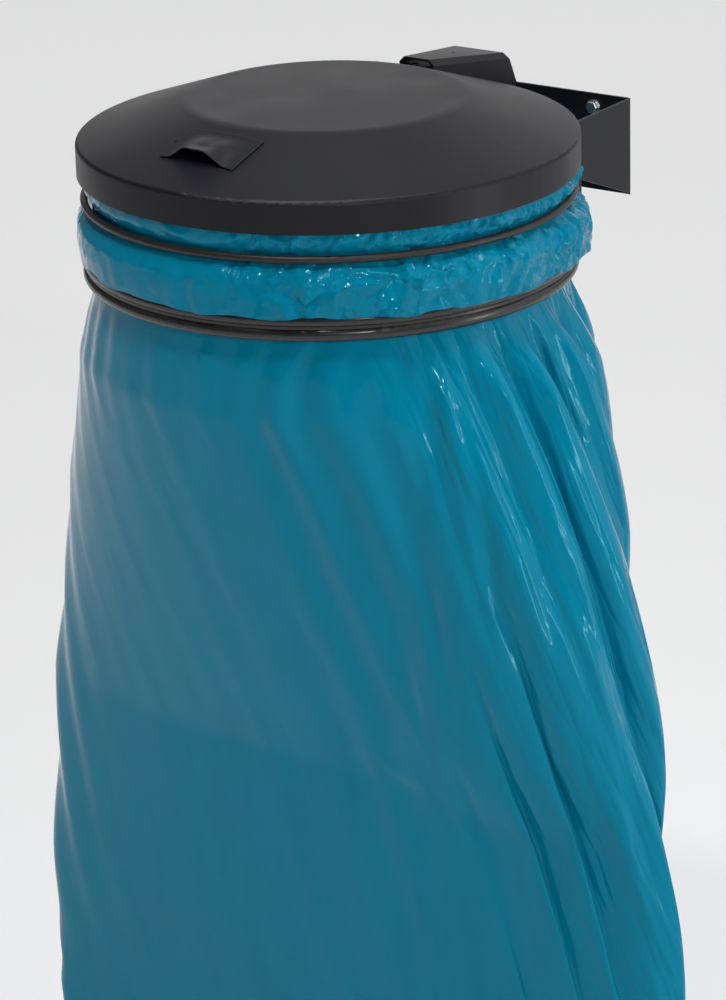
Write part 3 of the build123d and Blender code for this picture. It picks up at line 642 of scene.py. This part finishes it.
def make_cuff(columns):
    """Film from the hem, under the cord and over the rim, to the held ring in the drum."""
    radius, height, along = cuff_shape()
    ring = spread_columns(columns, 2 * pi * LINING_R)
    u = np.arange(columns) / columns
    rising = slice(0, 30)
    at_cord = np.interp(CORD_Z, height[rising], along[rising])
    folds = cuff_folds(ring, u, along, at_cord)
    over = smooth(height, RIM_Z - 0.012, RIM_Z - 0.005)
    inside = np.arange(len(radius)) > np.argmax(height)
    folds *= np.where(inside, 0.0, 1 - 0.9 * over)[:, None]
    points = np.zeros((len(radius), columns, 3))
    lean = wave_field(31, u, 0.0, (5, 26), (0, 0), 10)
    reach = radius[:, None] + folds
    under_lid = height[:, None] > LID_LOW.z - 0.004
    reach = np.where(under_lid, np.minimum(reach, LID_R - LID_T - 0.0018), reach)
    points[:, :, 0] = reach * np.cos(ring)
    points[:, :, 1] = reach * np.sin(ring)
    hem = (1 - smooth(along, 0.0, 0.022))[:, None]
    points[:, :, 2] = height[:, None] + hem * 0.0008 * (lean + 0.6)[None, :]
    return points


def shape_body(points):
    """Add the soft pleats under the hoop and keep the held film inside the drum."""
    u = np.arange(points.shape[1]) / points.shape[1]
    drop = FOOT_Z - points[:, :, 2]
    pleats = wave_field(41, u[None, :], drop, (24, 44), (-1.5, 1.5), 12)
    depth = 0.0009 * smooth(drop, 0.004, 0.030) * (1 - smooth(drop, 0.05, 0.17))
    points[:, :, :2] *= (1 + depth * pleats / LINING_R)[:, :, None]
    reach = np.hypot(points[:, :, 0], points[:, :, 1])
    limit = np.where(points[:, :, 2] > FOOT_Z + 0.001, LINING_R, 9.0)
    scale = np.minimum(1, limit / reach)
    points[:, :, :2] *= scale[:, :, None]
    return points


def stitched(cuff, body):
    """One mesh: the cuff's fine rows join every second of their columns to the body's."""
    fine, coarse = cuff.shape[1], body.shape[1]
    upper = np.arange(cuff.shape[0] * fine).reshape(-1, fine)
    lower = np.arange(body.shape[0] * coarse).reshape(-1, coarse) + upper.size
    faces = []
    for index in (upper, lower):
        right = np.roll(index, -1, axis=1)
        faces += np.stack([index[:-1], index[1:], right[1:], right[:-1]], -1).reshape(-1, 4).tolist()
    last, first = upper[-1], lower[0]
    for i in range(coarse):
        j = (i + 1) % coarse
        faces.append([last[2 * i], first[i], first[j], last[(2 * i + 2) % fine], last[2 * i + 1]])
    mesh = bpy.data.meshes.new("bag_film")
    corners = np.concatenate([cuff.reshape(-1, 3), body.reshape(-1, 3)])
    mesh.from_pydata((corners + np.array([RING.x, RING.y, 0.0])).tolist(), [], faces)
    mesh.shade_smooth()
    return mesh


def make_bag():
    body = shape_body(make_body())
    cuff = make_cuff(2 * body.shape[1])
    film = bpy.data.objects.new("bag_film", stitched(cuff, body))
    scene.collection.objects.link(film)
    film.data.materials.append(MATERIALS["bag_film"])
    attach(film, "holder")
    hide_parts("bag")


def make_handle():
    """Pressed plate on the lid's cone: its front edge is drawn up into a flared scoop."""
    wide, deep, thick, rise, half_scoop = 0.077, 0.0425, 0.0015, 0.0170, 0.033
    clock, ring_r = radians(-3.5), 0.1528
    slope = np.arctan2(DISC_Z - SHOULDER_Z, LID_R - DISC_R)
    out = Vector((sin(clock), -cos(clock), 0))
    across = Vector((cos(clock), sin(clock), 0))
    columns, rows = 97, 61
    a = np.linspace(-wide / 2, wide / 2, columns)[None, :]
    b = np.linspace(0, deep, rows)[:, None]
    arch = np.cos(np.clip(a / half_scoop, -1, 1) * pi / 2) ** 2
    fall = (1 - smooth(b, 0.016, 0.038)) * (0.34 + 0.66 * np.exp(-b / 0.009))
    valley = 1 - 0.48 * np.exp(-((a / 0.011) ** 2)) * (0.55 + 0.45 * smooth(b, 0.002, 0.016))
    lift = rise * arch * fall * valley
    curl = 0.004 * arch * np.exp(-b / 0.004)
    radius = ring_r + deep / 2 - b + curl
    points = []
    for i in range(rows):
        for j in range(columns):
            place = out * float(radius[i, j]) + across * float(a[0, j])
            flat_r = np.hypot(place.x, place.y)
            z = DISC_Z - (flat_r - DISC_R) * np.tan(slope) + 0.0001 + float(lift[i, j])
            points.append((place.x + RING.x, place.y + RING.y, z))
    index = np.arange(rows * columns).reshape(rows, columns)
    quads = np.stack([index[:-1, :-1], index[:-1, 1:], index[1:, 1:], index[1:, :-1]], -1)
    mesh = bpy.data.meshes.new("handle_plate")
    mesh.from_pydata(points, [], quads.reshape(-1, 4).tolist())
    mesh.shade_smooth()
    mesh.materials.append(MATERIALS["powder_coat"])
    handle = bpy.data.objects.new("handle_plate", mesh)
    scene.collection.objects.link(handle)
    solid = handle.modifiers.new("sheet", "SOLIDIFY")
    solid.thickness, solid.offset = thick, 1.0
    solid.use_even_offset = True
    edge = handle.modifiers.new("edge", "BEVEL")
    edge.width, edge.segments, edge.limit_method = 0.0005, 2, "ANGLE"
    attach(handle, "lid")
    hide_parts("lid_handle")


make_camera()
make_stage()
finish_nodes()
make_handle()
make_bag()
